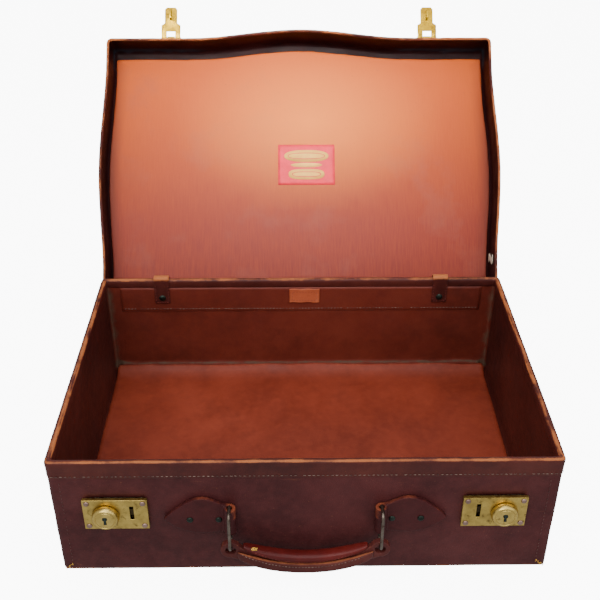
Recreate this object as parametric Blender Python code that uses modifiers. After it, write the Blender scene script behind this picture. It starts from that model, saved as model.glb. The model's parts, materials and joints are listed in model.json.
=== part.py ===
"""Hinged leather carrying case, shown with its lid open: base tray, lid, two spring locks with hasps and a
ring-hung handle. Metres. +X right, -Y front, +Z up, origin at the middle of the base's underside."""
import math

import bmesh
import bpy
from mathutils import Matrix, Vector

MM = 0.001

# Overall sizes, in millimetres: every solid below is worked out from these.
BASE_W = 518.0
BASE_D = 353.0
BASE_H = 152.0
CORNER_R = 6.0
GAP = 0.3
BIND_LEG = 0.9
BIND_LOW = 131.0
BIND_INNER_LOW = 141.0
COVER_IN = 1.2
COVER_T = 1.8
BOARD_IN = 3.3
BOARD_T = 1.8
LINING_IN = 5.4
LINING_T = 0.6

LID_LOW = 112.0
LID_TOP = 159.0
LID_BACK_GAP = 1.5
LID_SIDE_GAP = 1.5
LID_FRONT_GAP = 3.0
LID_WALL = 3.2
LID_SKIN = 1.5
LID_LEAN = 38.5
LID_BULGE = 12.0
LID_SIDE_BULGE = 8.0
LID_CORNER_R = 7.0
PANEL_INSET = 7.0
PANEL_FRONT_INSET = 15.5
HINGE_Z = 111.0

LOCK_X = 193.0
LOCK_W = 66.0
LOCK_LOW = 66.0
LOCK_H = 39.6
SLOT_X = 176.5
SLOT_W = 4.0
SLOT_LOW = 79.0
SLOT_HIGH = 97.0
KNOB_X = 203.0
KNOB_Z = 85.0
KNOB_R = 14.0
KNOB_TRAVEL = 7.0

PIVOT_Z = 120.0
PIVOT_OUT = 2.8
PIN_R = 0.8
KNUCKLE_BORE = 1.15
KNUCKLE_R = 2.2
TONGUE_LONG = 43.0

RING_X = 77.0
RING_BACK = 6.6
RING_DEEP = 18.0
RING_WIRE = 1.7
RING_LOW = 50.0
RING_HIGH = 100.0
EYE_Z = 47.6
EYE_R = 5.5
EYE_OUT = 10.5
STRAP_T = 7.0

# Worked out.
FRONT = -(BASE_D / 2 - COVER_IN)
BACK_RIM = BASE_D / 2
LID_BACK = BACK_RIM + LID_BACK_GAP + LID_WALL
LID_FRONT = -(BACK_RIM + LID_FRONT_GAP + LID_WALL)
LID_W = BASE_W + 2 * (LID_SIDE_GAP + LID_WALL)
LID_D = LID_BACK - LID_FRONT
LID_Y = (LID_BACK + LID_FRONT) / 2
HINGE = Vector((0, LID_BACK, HINGE_Z))
OPEN = -math.radians(90 + LID_LEAN)
PIVOT_Y = LID_FRONT - PIVOT_OUT
RING_Y = FRONT - RING_BACK
HANDLE_Y = RING_Y - RING_DEEP / 2
PLATE_FRONT = FRONT - 5.0

COLOURS = {
    "cover": (0.085, 0.022, 0.024),
    "binding": (0.42, 0.16, 0.075),
    "board": (0.30, 0.22, 0.15),
    "lining": (0.085, 0.018, 0.012),
    "floor": (0.20, 0.030, 0.014),
    "panel": (0.52, 0.21, 0.12),
    "label": (0.75, 0.16, 0.18),
    "brass": (0.55, 0.42, 0.16),
    "hasp": (0.75, 0.56, 0.16),
    "steel": (0.28, 0.26, 0.23),
    "rivet": (0.10, 0.09, 0.07),
    "red": (0.20, 0.016, 0.012),
    "tape": (0.62, 0.50, 0.36),
}


def clear_scene():
    for obj in list(bpy.data.objects):
        bpy.data.objects.remove(obj)


def collection(name):
    made = bpy.data.collections.new(name)
    bpy.context.scene.collection.children.link(made)
    return made


clear_scene()
PARTS = collection("leather_case")
TOOLS = collection("leather_case_cutters")
TOOLS.hide_render = True


def material(name):
    found = bpy.data.materials.get(name)
    if found:
        return found
    found = bpy.data.materials.new(name)
    found.use_nodes = True
    shader = found.node_tree.nodes["Principled BSDF"]
    shader.inputs["Base Color"].default_value = (*COLOURS[name], 1.0)
    metal = name in ("brass", "hasp", "steel", "rivet")
    shader.inputs["Metallic"].default_value = 1.0 if metal else 0.0
    shader.inputs["Roughness"].default_value = 0.35 if metal else 0.55
    return found


def add(name, mesh, at=(0, 0, 0), mat=None, smooth=False):
    """An object from a mesh whose points are in world millimetres, with its origin moved to `at`."""
    mesh.transform(Matrix.Scale(MM, 4) @ Matrix.Translation(-Vector(at)))
    obj = bpy.data.objects.new(name, mesh)
    obj.location = Vector(at) * MM
    if mat:
        mesh.materials.append(material(mat))
        PARTS.objects.link(obj)
    else:
        obj.hide_render = True
        obj.display_type = "WIRE"
        TOOLS.objects.link(obj)
    for face in mesh.polygons:
        face.use_smooth = smooth
    return obj


def mesh_from(bm, name):
    bmesh.ops.recalc_face_normals(bm, faces=bm.faces)
    mesh = bpy.data.meshes.new(name)
    bm.to_mesh(mesh)
    bm.free()
    return mesh


def flat_curve(name, points, half):
    data = bpy.data.curves.new(name, "CURVE")
    data.dimensions = "2D"
    data.fill_mode = "BOTH"
    data.extrude = half
    line = data.splines.new("POLY")
    line.points.add(len(points) - 1)
    for point, (x, y) in zip(line.points, points):
        point.co = (x, y, 0, 1)
    line.use_cyclic_u = True
    return bpy.data.objects.new(name, data)


TURNS = {
    "XY": Matrix.Identity(4),
    "XZ": Matrix(((1, 0, 0, 0), (0, 0, -1, 0), (0, 1, 0, 0), (0, 0, 0, 1))),
    "YZ": Matrix(((0, 0, 1, 0), (1, 0, 0, 0), (0, 1, 0, 0), (0, 0, 0, 1))),
}


def prism_bm(name, points, lo, hi, plane, round_lo=0.0, round_hi=0.0, steps=2):
    """A 2D outline extruded from lo to hi along the plane's third axis, its two outlines rounded if asked."""
    curve = flat_curve(name, points, abs(hi - lo) / 2)
    bpy.context.scene.collection.objects.link(curve)
    bpy.context.view_layer.update()
    raw = bpy.data.meshes.new_from_object(curve)
    bpy.data.objects.remove(curve)
    bm = bmesh.new()
    bm.from_mesh(raw)
    bpy.data.meshes.remove(raw)
    bmesh.ops.remove_doubles(bm, verts=bm.verts, dist=1e-4)
    bmesh.ops.dissolve_limit(bm, angle_limit=0.001, verts=bm.verts, edges=bm.edges)
    half = abs(hi - lo) / 2
    for side, amount in ((-half, round_lo), (half, round_hi)):
        if amount:
            rim = [e for e in bm.edges if all(abs(v.co.z - side) < 1e-3 for v in e.verts)]
            bmesh.ops.bevel(bm, geom=rim, offset=amount, segments=steps, profile=0.5, affect="EDGES")
    middle = (lo + hi) / 2
    shift = {"XY": (0, 0, middle), "XZ": (0, middle, 0), "YZ": (middle, 0, 0)}[plane]
    bm.transform(Matrix.Translation(shift) @ TURNS[plane])
    bmesh.ops.recalc_face_normals(bm, faces=bm.faces)
    return bm


def prism(name, points, lo, hi, plane="XY", at=(0, 0, 0), mat=None, smooth=False, **rounds):
    return add(name, mesh_from(prism_bm(name, points, lo, hi, plane, **rounds), name), at, mat, smooth)


def block(name, low, high, at=(0, 0, 0), mat=None, bevel=0.0):
    """A box between two corners, its edges bevelled if asked."""
    bm = bmesh.new()
    bmesh.ops.create_cube(bm, size=1.0)
    size = Vector(high) - Vector(low)
    middle = (Vector(high) + Vector(low)) / 2
    bm.transform(Matrix.Translation(middle) @ Matrix.Diagonal((*size, 1)))
    if bevel:
        bmesh.ops.bevel(bm, geom=bm.edges, offset=bevel, segments=2, profile=0.5, affect="EDGES")
    return add(name, mesh_from(bm, name), at, mat)


def rod(name, start, end, radius, at=(0, 0, 0), mat=None, sides=16, dome=0.0, steps=2):
    """A cylinder from start to end, the rim at its end rounded by `dome`."""
    bm = bmesh.new()
    along = Vector(end) - Vector(start)
    bmesh.ops.create_cone(
        bm, cap_ends=True, segments=sides, radius1=radius, radius2=radius, depth=along.length
    )
    if dome:
        rim = [e for e in bm.edges if all(v.co.z > 0 for v in e.verts)]
        bmesh.ops.bevel(bm, geom=rim, offset=dome, segments=steps, profile=0.5, affect="EDGES")
    turn = Vector((0, 0, 1)).rotation_difference(along).to_matrix().to_4x4()
    bm.transform(Matrix.Translation((Vector(start) + Vector(end)) / 2) @ turn)
    return add(name, mesh_from(bm, name), at, mat, smooth=True)


def boolean(obj, other, how):
    made = obj.modifiers.new(how.lower() + "_" + other.name, "BOOLEAN")
    made.operation = how
    made.solver = "EXACT"
    made.object = other
    return other


def cut(obj, *others):
    for other in others:
        boolean(obj, other, "DIFFERENCE")


def join(obj, *others):
    for other in others:
        boolean(obj, other, "UNION")


def rounded(width, depth, radius, centre_y=0.0, steps=5, front=0.0, sides=0.0):
    """A rounded rectangle, anticlockwise. `front` and `sides` bow those edges outward by that much."""
    points = []
    hx, hy = width / 2, depth / 2

    def arc(cx, cy, start):
        for i in range(steps + 1):
            angle = math.radians(start + 90 * i / steps)
            points.append((cx + radius * math.cos(angle), cy + radius * math.sin(angle)))

    def bow(amount, at, reach):
        return amount * math.cos(math.pi * at / (2 * reach)) ** 2 if abs(at) < reach else 0.0

    stations = (-1.0, -0.85, -0.7, -0.55, -0.4, -0.25, -0.1, 0.1, 0.25, 0.4, 0.55, 0.7, 0.85, 1.0)
    arc(-(hx - radius), -(hy - radius), 180)
    if front:
        points.extend((150 * s, -hy - bow(front, 150 * s, 150)) for s in stations)
    arc(hx - radius, -(hy - radius), 270)
    if sides:
        points.extend((hx + bow(sides, 150 * s, 150), 150 * s) for s in stations)
    arc(hx - radius, hy - radius, 0)
    arc(-(hx - radius), hy - radius, 90)
    if sides:
        points.extend((-hx - bow(sides, 150 * s, 150), -150 * s) for s in stations)
    return [(x, y + centre_y) for x, y in points]


def base_outline(inset):
    return rounded(BASE_W - 2 * inset, BASE_D - 2 * inset, max(CORNER_R - inset, 2.0))


def lid_outline(inset, front_inset=None):
    """The lid's bowed outline moved inward, by another amount along its front edge if asked."""
    more = 0.0 if front_inset is None else front_inset - inset
    return rounded(
        LID_W - 2 * inset,
        LID_D - 2 * inset - more,
        max(LID_CORNER_R - inset, 4.0),
        LID_Y + more / 2,
        front=LID_BULGE,
        sides=LID_SIDE_BULGE,
    )


def tray(name, points, low, high, thick, at, mat, rounding, opens_up=True):
    """An open box: an outline extruded from low to high, one end left open, its walls thickened inward."""
    rounds = {"round_lo" if opens_up else "round_hi": rounding}
    bm = prism_bm(name, points, low, high, "XY", **rounds)
    mouth = high if opens_up else low
    caps = [f for f in bm.faces if all(abs(v.co.z - mouth) < 1e-3 for v in f.verts)]
    bmesh.ops.delete(bm, geom=caps, context="FACES")
    mesh = bpy.data.meshes.new(name)
    bm.to_mesh(mesh)
    bm.free()
    body = add(name, mesh, at, mat)
    wall = body.modifiers.new("wall", "SOLIDIFY")
    wall.thickness = thick * MM
    wall.offset = -1.0
    wall.use_even_offset = True
    wall.use_rim = True
    return body


def ribbon(name, path, thick, low_x, high_x, at, mat):
    """A strip of leather with its centre line on `path` (Y, Z), as wide as low_x to high_x."""
    left, right = [], []
    for i, point in enumerate(path):
        before = Vector(path[max(i - 1, 0)])
        after = Vector(path[min(i + 1, len(path) - 1)])
        along = (after - before).normalized()
        side = Vector((-along.y, along.x)) * thick / 2
        left.append(tuple(Vector(point) + side))
        right.append(tuple(Vector(point) - side))
    return prism(name, left + right[::-1], low_x, high_x, "YZ", at, mat)


# --- base tray ---------------------------------------------------------------------------------------------
BOT = (0, 0, 0)
base_cover = tray("base_cover", base_outline(COVER_IN), 0, 150, COVER_T, BOT, "cover", 2.0)
for s, tag in ((-1, "L"), (1, "R")):
    low = (s * LOCK_X - 29, FRONT - 3, 70)
    cut(base_cover, block("cover_window_" + tag, low, (s * LOCK_X + 29, FRONT + COVER_T + 0.6, 102)))
tray("base_board", base_outline(BOARD_IN), 2.1, 149.4, BOARD_T, BOT, "board", 1.6)
tray("base_lining", base_outline(LINING_IN), 4.2, 149.2, LINING_T, BOT, "lining", 1.0)
floor_in = LINING_IN + LINING_T + 3
prism("base_floor_panel", base_outline(floor_in), 5.1, 8.6, mat="floor", at=(0, 0, 5.1), round_hi=1.2)

binding = prism(
    "base_rim_binding", base_outline(0), BIND_LOW, BASE_H, at=(0, 0, BASE_H), mat="binding", round_hi=1.4
)
leg_in = LINING_IN + LINING_T + GAP
channel = prism("binding_channel", base_outline(BIND_LEG), BIND_LOW - 5, 150.3)
cut(channel, prism("binding_channel_core", base_outline(leg_in), BIND_INNER_LOW, BASE_H + 9))
cut(binding, channel, prism("binding_hollow", base_outline(leg_in + BIND_LEG), BIND_LOW - 9, BASE_H + 9))

# --- inside of the back wall -------------------------------------------------------------------------------
wall_y = BACK_RIM - LINING_IN - LINING_T
face_y = wall_y - GAP
block("back_hinge_facing", (-236, face_y - 1.0, 104), (236, face_y, 140.6), (0, face_y, 122), "lining", 0.3)
tab_y = face_y - 1.0 - GAP
block("centre_tab", (-15, tab_y - 1.2, 119), (24, tab_y, 138), (4.5, tab_y, 128), "binding", 0.3)

along_wall = Vector((-math.sin(OPEN), math.cos(OPEN)))
into_lid = Vector((-math.cos(OPEN), -math.sin(OPEN)))


def lid_inner_wall(s, off):
    """A point on the open lid's back wall, s along it from the rim and off its inner face."""
    start = Vector((HINGE.y, HINGE.z)) + into_lid * LID_WALL + along_wall
    return tuple(start + along_wall * s + into_lid * off)


strap_path = [(168.4, 118), (168.4, 152.2), (169.6, 154.4), (172.8, 155.4), (176.6, 154.6), (177.9, 152.2)]
strap_path += [(178.6, 140), (179.6, 126), (182.0, 118.5), lid_inner_wall(2, 1.4), lid_inner_wall(8, 1.1)]
strap_path += [lid_inner_wall(22, 1.1)]
for s, tag in ((-1, "L"), (1, "R")):
    x = s * 181.0
    ribbon("stay_strap_" + tag, strap_path, 1.0, x - 9.75, x + 9.75, (x, 168.4, 150), "binding")
    rod("stay_strap_rivet_" + tag, (x, 167.6, 124), (x, 166.1, 124), 4.2, (x, 167.6, 124), "rivet", 12, 0.9)

low_y = BASE_D / 2 - COVER_IN + 0.8
out_of_lid = -into_lid
leather_path = [(low_y, 74), (low_y, 102), (low_y + 1.2, 106.5)]
for along in (1.5, 5, 30):
    spot = Vector((HINGE.y, HINGE.z)) + along_wall * along + out_of_lid * 0.9
    leather_path.append(tuple(spot))
ribbon("hinge_leather", leather_path, 1.0, -238, 238, tuple(HINGE), "cover")

# --- handle mounts, rings and handle -----------------------------------------------------------------------
LEAF = [(77, 96.6), (84, 98.6), (91, 102.5), (98, 106), (104, 107.3), (112, 106), (122, 101), (133, 92)]
LEAF += [(141, 84), (145, 79), (141, 75), (133, 68), (122, 62), (110, 59.3), (98, 59.5), (90, 61), (77, 62.5)]
for s, tag in ((-1, "L"), (1, "R")):
    x = s * RING_X
    leaf = [(s * px, pz) for px, pz in (LEAF if s < 0 else LEAF[::-1])]
    middle = (s * 104, FRONT, 79)
    mount = prism(
        "handle_mount_" + tag, leaf, FRONT - 5.8, FRONT - GAP, "XZ", middle, "cover", round_lo=1.2
    )
    join(mount, rod("mount_fold_" + tag, (x, RING_Y, 62.5), (x, RING_Y, 96.8), 6.2, sides=20))
    cut(mount, rod("mount_bore_" + tag, (x, RING_Y, 50), (x, RING_Y, 110), 2.7, sides=20))
    for n, rx in ((1, 88.5), (2, 118.0)):
        start = (s * rx, FRONT - 6.1, 79)
        rod(f"mount_rivet_{tag}{n}", start, (s * rx, FRONT - 7.8, 79), 3.4, start, "rivet", 14, 1.1)

    ring = bpy.data.curves.new("ring_" + tag, "CURVE")
    ring.dimensions = "3D"
    ring.bevel_depth = RING_WIRE
    ring.bevel_resolution = 2
    ring.use_fill_caps = True
    half = RING_DEEP / 2
    path = []
    for i in range(13):
        a = math.pi * i / 12
        path.append((-half * math.cos(a) * -1, RING_LOW + half - half * math.sin(a)))
    small = 4.5
    for i in range(5):
        a = math.pi / 2 * i / 4
        path.append((-(half - small) - small * math.cos(a), RING_HIGH - small + small * math.sin(a)))
    for i in range(5):
        a = math.pi / 2 * i / 4
        path.append(((half - small) + small * math.sin(a), RING_HIGH - small + small * math.cos(a)))
    line = ring.splines.new("POLY")
    line.points.add(len(path) - 1)
    for point, (py, pz) in zip(line.points, path):
        point.co = (x, HANDLE_Y + py, pz, 1)
    line.use_cyclic_u = True
    guide = bpy.data.objects.new("ring_guide", ring)
    bpy.context.scene.collection.objects.link(guide)
    bpy.context.view_layer.update()
    bm = bmesh.new()
    raw = bpy.data.meshes.new_from_object(guide)
    bm.from_mesh(raw)
    bpy.data.meshes.remove(raw)
    bpy.data.objects.remove(guide)
    bmesh.ops.remove_doubles(bm, verts=bm.verts, dist=1e-3)
    add("ring_" + tag, mesh_from(bm, "ring_" + tag), (x, RING_Y, 75), "steel", True)


def band(reach, low_c, low_e, high_c, high_e, steps=14):
    """The handle's outline: two bowed edges between -reach and reach, low and high at centre and end."""
    xs = [-reach + 2 * reach * i / steps for i in range(steps + 1)]
    lower = [(x, low_c + (low_e - low_c) * (abs(x) / reach) ** 2.1) for x in xs]
    upper = [(x, high_c + (high_e - high_c) * (abs(x) / reach) ** 2.1) for x in xs]
    return lower + upper[::-1]


back_y, front_y = HANDLE_Y + STRAP_T / 2, HANDLE_Y - STRAP_T / 2
AXIS_Z = RING_LOW + RING_DEEP / 2
hub = (0, HANDLE_Y, AXIS_Z)
STRAP = band(77, 19.5, EYE_Z - EYE_OUT, 31, EYE_Z + EYE_OUT)
strap = prism("handle_strap", STRAP, front_y, back_y, "XZ", hub, "cover", round_lo=0.8, round_hi=0.8)
for s, tag in ((-1, "L"), (1, "R")):
    eye_x = s * RING_X
    join(strap, rod("eye_disc_" + tag, (eye_x, back_y, EYE_Z), (eye_x, front_y, EYE_Z), EYE_OUT, sides=24))
    ends = (eye_x, back_y + 5, EYE_Z), (eye_x, front_y - 5, EYE_Z)
    cut(strap, rod("eye_hole_" + tag, *ends, EYE_R, sides=20))
PAD = band(56, 31.5, 45.4, 40.5, 50.5)
prism("handle_pad", PAD, HANDLE_Y - 7, HANDLE_Y + 7, "XZ", hub, "red", round_lo=1.6, round_hi=1.6)
FACING = band(70, 19.5, 36, 30.8, 49)
prism("handle_front", FACING, front_y - 6.3, front_y - GAP, "XZ", hub, "cover", round_lo=2.4)
prism("handle_back", FACING, back_y + GAP, back_y + 6.3, "XZ", hub, "red", round_hi=2.4)

# --- locks -------------------------------------------------------------------------------------------------
for s, tag in ((-1, "L"), (1, "R")):
    x = s * LOCK_X
    low_z, high_z = LOCK_LOW, LOCK_LOW + LOCK_H
    left_x, right_x = x - LOCK_W / 2, x + LOCK_W / 2
    frame = [(left_x, low_z), (right_x, low_z), (right_x, high_z), (left_x, high_z)]
    plate = prism(
        "lock_plate_" + tag, frame, PLATE_FRONT, FRONT - GAP, "XZ", (x, FRONT, 86), "brass", round_lo=1.2
    )
    hollow = block(
        "lock_hollow_" + tag, (x - 31, PLATE_FRONT + 1.0, low_z + 2), (x + 31, FRONT + 5, high_z - 2)
    )
    slot_x = s * SLOT_X
    slot_low = (slot_x - SLOT_W / 2, PLATE_FRONT - 5, SLOT_LOW)
    slot = block("lock_slot_" + tag, slot_low, (slot_x + SLOT_W / 2, FRONT, SLOT_HIGH))
    knob_x = s * KNOB_X
    far_x = s * (KNOB_X + KNOB_TRAVEL)
    way = rod("lock_way_" + tag, (knob_x, FRONT, KNOB_Z), (knob_x, PLATE_FRONT - 5, KNOB_Z), 3.6)
    join(way, rod("lock_way_far_" + tag, (far_x, FRONT, KNOB_Z), (far_x, PLATE_FRONT - 5, KNOB_Z), 3.6))
    left, right = sorted((knob_x, far_x))
    way_low, way_high = (left, PLATE_FRONT - 4.9, KNOB_Z - 3.6), (right, FRONT - 0.1, KNOB_Z + 3.6)
    join(way, block("lock_way_mid_" + tag, way_low, way_high))
    cut(plate, hollow, slot, way)
    back_low, back_high = (x - 28, FRONT + 1.0, 71), (x + 28, FRONT + 1.8, 101)
    block("lock_backplate_" + tag, back_low, back_high, (x, FRONT, 86), "brass")
    for n, (dx, dz) in enumerate(((-28.3, -15.2), (28.3, -15.2), (28.3, 15.2), (-28.3, 15.2)), 1):
        start = (x + dx, PLATE_FRONT - GAP, 85.8 + dz)
        end = (x + dx, PLATE_FRONT - GAP - 1.4, 85.8 + dz)
        rod(f"lock_rivet_{tag}{n}", start, end, 2.8, start, "steel", 12, 0.9)

    face = PLATE_FRONT - GAP
    slide = (knob_x, face, KNOB_Z)
    knob = rod("lock_knob_" + tag, slide, (knob_x, face - 7.7, KNOB_Z), KNOB_R, slide, "hasp", 32, 2.2, 3)
    join(knob, rod("knob_shank_" + tag, (knob_x, PLATE_FRONT + 1.4, KNOB_Z), (knob_x, face - 2, KNOB_Z), 3.0))
    hole = rod("keyhole_" + tag, (knob_x, face - 5.5, KNOB_Z + 1.2), (knob_x, face - 12, KNOB_Z + 1.2), 2.2)
    join(hole, block(
        "keyway_" + tag, (knob_x - 1.1, face - 11.9, KNOB_Z - 4.6), (knob_x + 1.1, face - 5.6, KNOB_Z + 1)
    ))
    cut(knob, hole)
    near, far = sorted((s * 173.5, s * 200))
    bolt = block(
        "lock_bolt_" + tag, (near, PLATE_FRONT + 1.6, 84), (far, PLATE_FRONT + 3.2, 92), slide, "hasp"
    )
    near, far = sorted((s * 187, s * 214))
    join(bolt, block("bolt_body_" + tag, (near, PLATE_FRONT + 1.6, 78), (far, PLATE_FRONT + 3.2, 93)))

# --- lid, drawn closed and then turned open about its hinge ------------------------------------------------
lid_turn = bpy.data.objects.new("lid_hinge", None)
lid_turn.location = HINGE * MM
lid_turn.rotation_euler = (OPEN, 0, 0)
PARTS.objects.link(lid_turn)


def follow(parent, home, obj):
    """Parents obj, drawn closed, and its cutters to an empty whose place in the closed case is `home`."""
    obj.parent = parent
    obj.matrix_parent_inverse = Matrix.Translation(-Vector(home) * MM)
    for modifier in obj.modifiers:
        if modifier.type == "BOOLEAN":
            follow(parent, home, modifier.object)
    return obj


def on_lid(obj):
    return follow(lid_turn, HINGE, obj)


on_lid(tray("lid_cover", lid_outline(0), LID_LOW, LID_TOP, LID_SKIN, tuple(HINGE), "cover", 3.0, False))
board_in = LID_SKIN + 1.1
board_top = LID_TOP - LID_SKIN - 0.9
board_low = LID_LOW + 0.3
on_lid(tray("lid_board", lid_outline(board_in), board_low, board_top, 1.0, tuple(HINGE), "board", 3.2, False))
panel_top = board_top - 1.4 - GAP
panel = prism(
    "lid_lining_panel", lid_outline(PANEL_INSET, PANEL_FRONT_INSET), panel_top - 1.4, panel_top,
    at=tuple(HINGE), mat="panel",
)
on_lid(panel)
face_z = panel_top - 1.4 - GAP
label_low = (-30, HINGE.y - 225, face_z - 0.6)
on_lid(block("lid_label", label_low, (49, HINGE.y - 168, face_z), tuple(HINGE), "label"))
stub_low = (LID_W / 2 - LID_WALL - 1.3, HINGE.y - 62, LID_LOW + 14)
stub_high = (LID_W / 2 - LID_WALL - 0.3, HINGE.y - 52, LID_LOW + 34)
on_lid(block("lid_stay_stub", stub_low, stub_high, tuple(HINGE), "tape"))

for s, tag in ((-1, "L"), (1, "R")):
    x = s * SLOT_X
    wall = LID_FRONT - GAP
    pivot = (x, PIVOT_Y, PIVOT_Z)
    leaf_pts = [(x - 4.9, PIVOT_Z + 0.3), (x + 4.9, PIVOT_Z + 0.3), (x + 4.9, 123.1), (x + 13, 123.5)]
    leaf_pts += [(x + 13, 137), (x - 13, 137), (x - 13, 123.5), (x - 4.9, 123.1)]
    leaf = prism("hasp_leaf_" + tag, leaf_pts, wall - 0.9, wall, "XZ", pivot, "hasp")
    ends = (x - 5.1, PIVOT_Y, PIVOT_Z), (x + 5.1, PIVOT_Y, PIVOT_Z)
    join(leaf, rod("leaf_knuckle_" + tag, *ends, KNUCKLE_R))
    bore = (x - 20, PIVOT_Y, PIVOT_Z), (x + 20, PIVOT_Y, PIVOT_Z)
    cut(leaf, rod("leaf_bore_" + tag, *bore, KNUCKLE_BORE))
    on_lid(leaf)
    pin_ends = (x - 13.6, PIVOT_Y, PIVOT_Z), (x + 13.6, PIVOT_Y, PIVOT_Z)
    on_lid(rod("hasp_pin_" + tag, *pin_ends, PIN_R, pivot, "hasp", 12))
    for n, dx in ((1, -7.5), (2, 7.5)):
        start = (x + dx, wall - 1.2, 131)
        on_lid(rod(f"hasp_rivet_{tag}{n}", start, (x + dx, wall - 2.3, 131), 1.8, start, "hasp", 12, 0.7))

    swing = bpy.data.objects.new("hasp_pivot_" + tag, None)
    swing.parent = lid_turn
    swing.location = (Vector(pivot) - HINGE) * MM
    swing.rotation_euler = (-math.pi / 2, 0, 0)
    PARTS.objects.link(swing)
    end_z = PIVOT_Z - TONGUE_LONG
    top_z = PIVOT_Z - 0.3
    shape = [(x - 5.9, top_z), (x - 12.8, top_z), (x - 12.8, PIVOT_Z - 6), (x - 13, PIVOT_Z - 6)]
    shape += [(x - 13, PIVOT_Z - 17.5), (x - 8.5, PIVOT_Z - 20.5), (x - 8.5, end_z + 3), (x - 6, end_z)]
    shape += [(x + 6, end_z), (x + 8.5, end_z + 3), (x + 8.5, PIVOT_Z - 20.5), (x + 13, PIVOT_Z - 17.5)]
    shape += [(x + 13, PIVOT_Z - 6), (x + 12.8, PIVOT_Z - 6), (x + 12.8, top_z), (x + 5.9, top_z)]
    shape += [(x + 5.9, PIVOT_Z - 9), (x - 5.9, PIVOT_Z - 9)]
    tongue = prism("hasp_tongue_" + tag, shape, wall - 1.2, wall, "XZ", pivot, "hasp")
    for side in (-1, 1):
        near, far = sorted((x + side * 5.75, x + side * 12.95))
        name = f"tongue_knuckle_{tag}{'a' if side < 0 else 'b'}"
        join(tongue, rod(name, (near, PIVOT_Y, PIVOT_Z), (far, PIVOT_Y, PIVOT_Z), KNUCKLE_R))
    deep = FRONT + 0.7
    staple = [(wall - 0.6, 81), (deep, 81), (deep, 95), (wall - 0.6, 95), (wall - 0.6, 93), (deep - 2, 93)]
    staple += [(deep - 2, 83), (wall - 0.6, 83)]
    join(tongue, prism("staple_" + tag, staple, x - 1, x + 1, "YZ"))
    cut(tongue, rod("tongue_bore_" + tag, *bore, KNUCKLE_BORE))
    follow(swing, pivot, tongue)
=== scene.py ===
"""The leather carrying case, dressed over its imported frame. Lengths are millimetres until MM is applied."""
import json
import math
import random

import bmesh
import bpy
from mathutils import Matrix, Vector, noise


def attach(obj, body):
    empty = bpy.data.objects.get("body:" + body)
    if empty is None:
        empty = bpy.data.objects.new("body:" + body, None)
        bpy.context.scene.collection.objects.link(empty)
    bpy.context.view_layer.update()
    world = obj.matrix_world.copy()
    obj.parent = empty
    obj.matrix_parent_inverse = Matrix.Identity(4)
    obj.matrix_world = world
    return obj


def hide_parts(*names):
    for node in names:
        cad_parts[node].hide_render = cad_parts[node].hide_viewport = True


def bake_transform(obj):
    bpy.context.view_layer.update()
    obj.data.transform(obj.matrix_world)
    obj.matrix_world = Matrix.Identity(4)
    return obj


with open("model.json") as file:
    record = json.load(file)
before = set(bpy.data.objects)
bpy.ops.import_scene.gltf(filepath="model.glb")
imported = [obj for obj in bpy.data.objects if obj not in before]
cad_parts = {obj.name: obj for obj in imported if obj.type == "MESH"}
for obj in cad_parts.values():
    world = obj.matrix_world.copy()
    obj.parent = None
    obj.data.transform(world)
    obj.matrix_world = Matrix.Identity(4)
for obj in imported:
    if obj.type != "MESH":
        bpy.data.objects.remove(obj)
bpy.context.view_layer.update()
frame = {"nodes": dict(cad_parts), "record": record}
NODES = frame["nodes"]
BODY_OF = {node: body for body, nodes in frame["record"]["behaviour"]["bodies"].items() for node in nodes}
MM = 0.001
random.seed(7)

# --- sizes shared with the frame ---
BASE_W, BASE_D = 518.0, 353.0
HINGE = Vector((0, 181.2, 111.0))
OPEN = -math.radians(128.5)
LID_W, LID_D, LID_Y, LID_LOW = 527.4, 363.9, -0.75, 112.0
LID_BOW, LID_SIDE_BOW, BOW_REACH = 12.0, 8.0, 150.0
FRONT = -175.3  # the outer face of the tray's front board
PLATE_FACE = FRONT - 5.3
AHEAD = (0, -1, 0)
LOCK_X, KNOB_X, HASP_X, RING_X, STAY_X = 193.0, 203.0, 176.5, 77.0, 181.0
LOCK_Z, KNOB_Z, SEAM_Z = 85.8, 85.0, 134.0
TO_OPEN = Matrix.Translation(HINGE) @ Matrix.Rotation(OPEN, 4, "X") @ Matrix.Translation(-HINGE)


# --- camera ---
def add_camera():
    pitch, yaw, roll = math.radians(32.5), math.radians(0.80), math.radians(0.148)
    ahead = Vector((math.sin(yaw) * math.cos(pitch), math.cos(yaw) * math.cos(pitch), -math.sin(pitch)))
    right = Vector((math.cos(yaw), -math.sin(yaw), 0))
    up = right.cross(ahead)
    right, up = (
        right * math.cos(roll) + up * math.sin(roll),
        up * math.cos(roll) - right * math.sin(roll),
    )
    eye = Vector((-0.0158, -0.8673, 0.7815))
    data = bpy.data.cameras.new("camera")
    data.sensor_width = 36.0
    data.lens = 56.136
    data.clip_end = 50.0
    camera = bpy.data.objects.new("camera", data)
    camera.matrix_world = Matrix(
        (
            (right.x, up.x, -ahead.x, eye.x),
            (right.y, up.y, -ahead.y, eye.y),
            (right.z, up.z, -ahead.z, eye.z),
            (0, 0, 0, 1),
        )
    )
    bpy.context.scene.collection.objects.link(camera)
    bpy.context.scene.camera = camera


add_camera()


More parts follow.
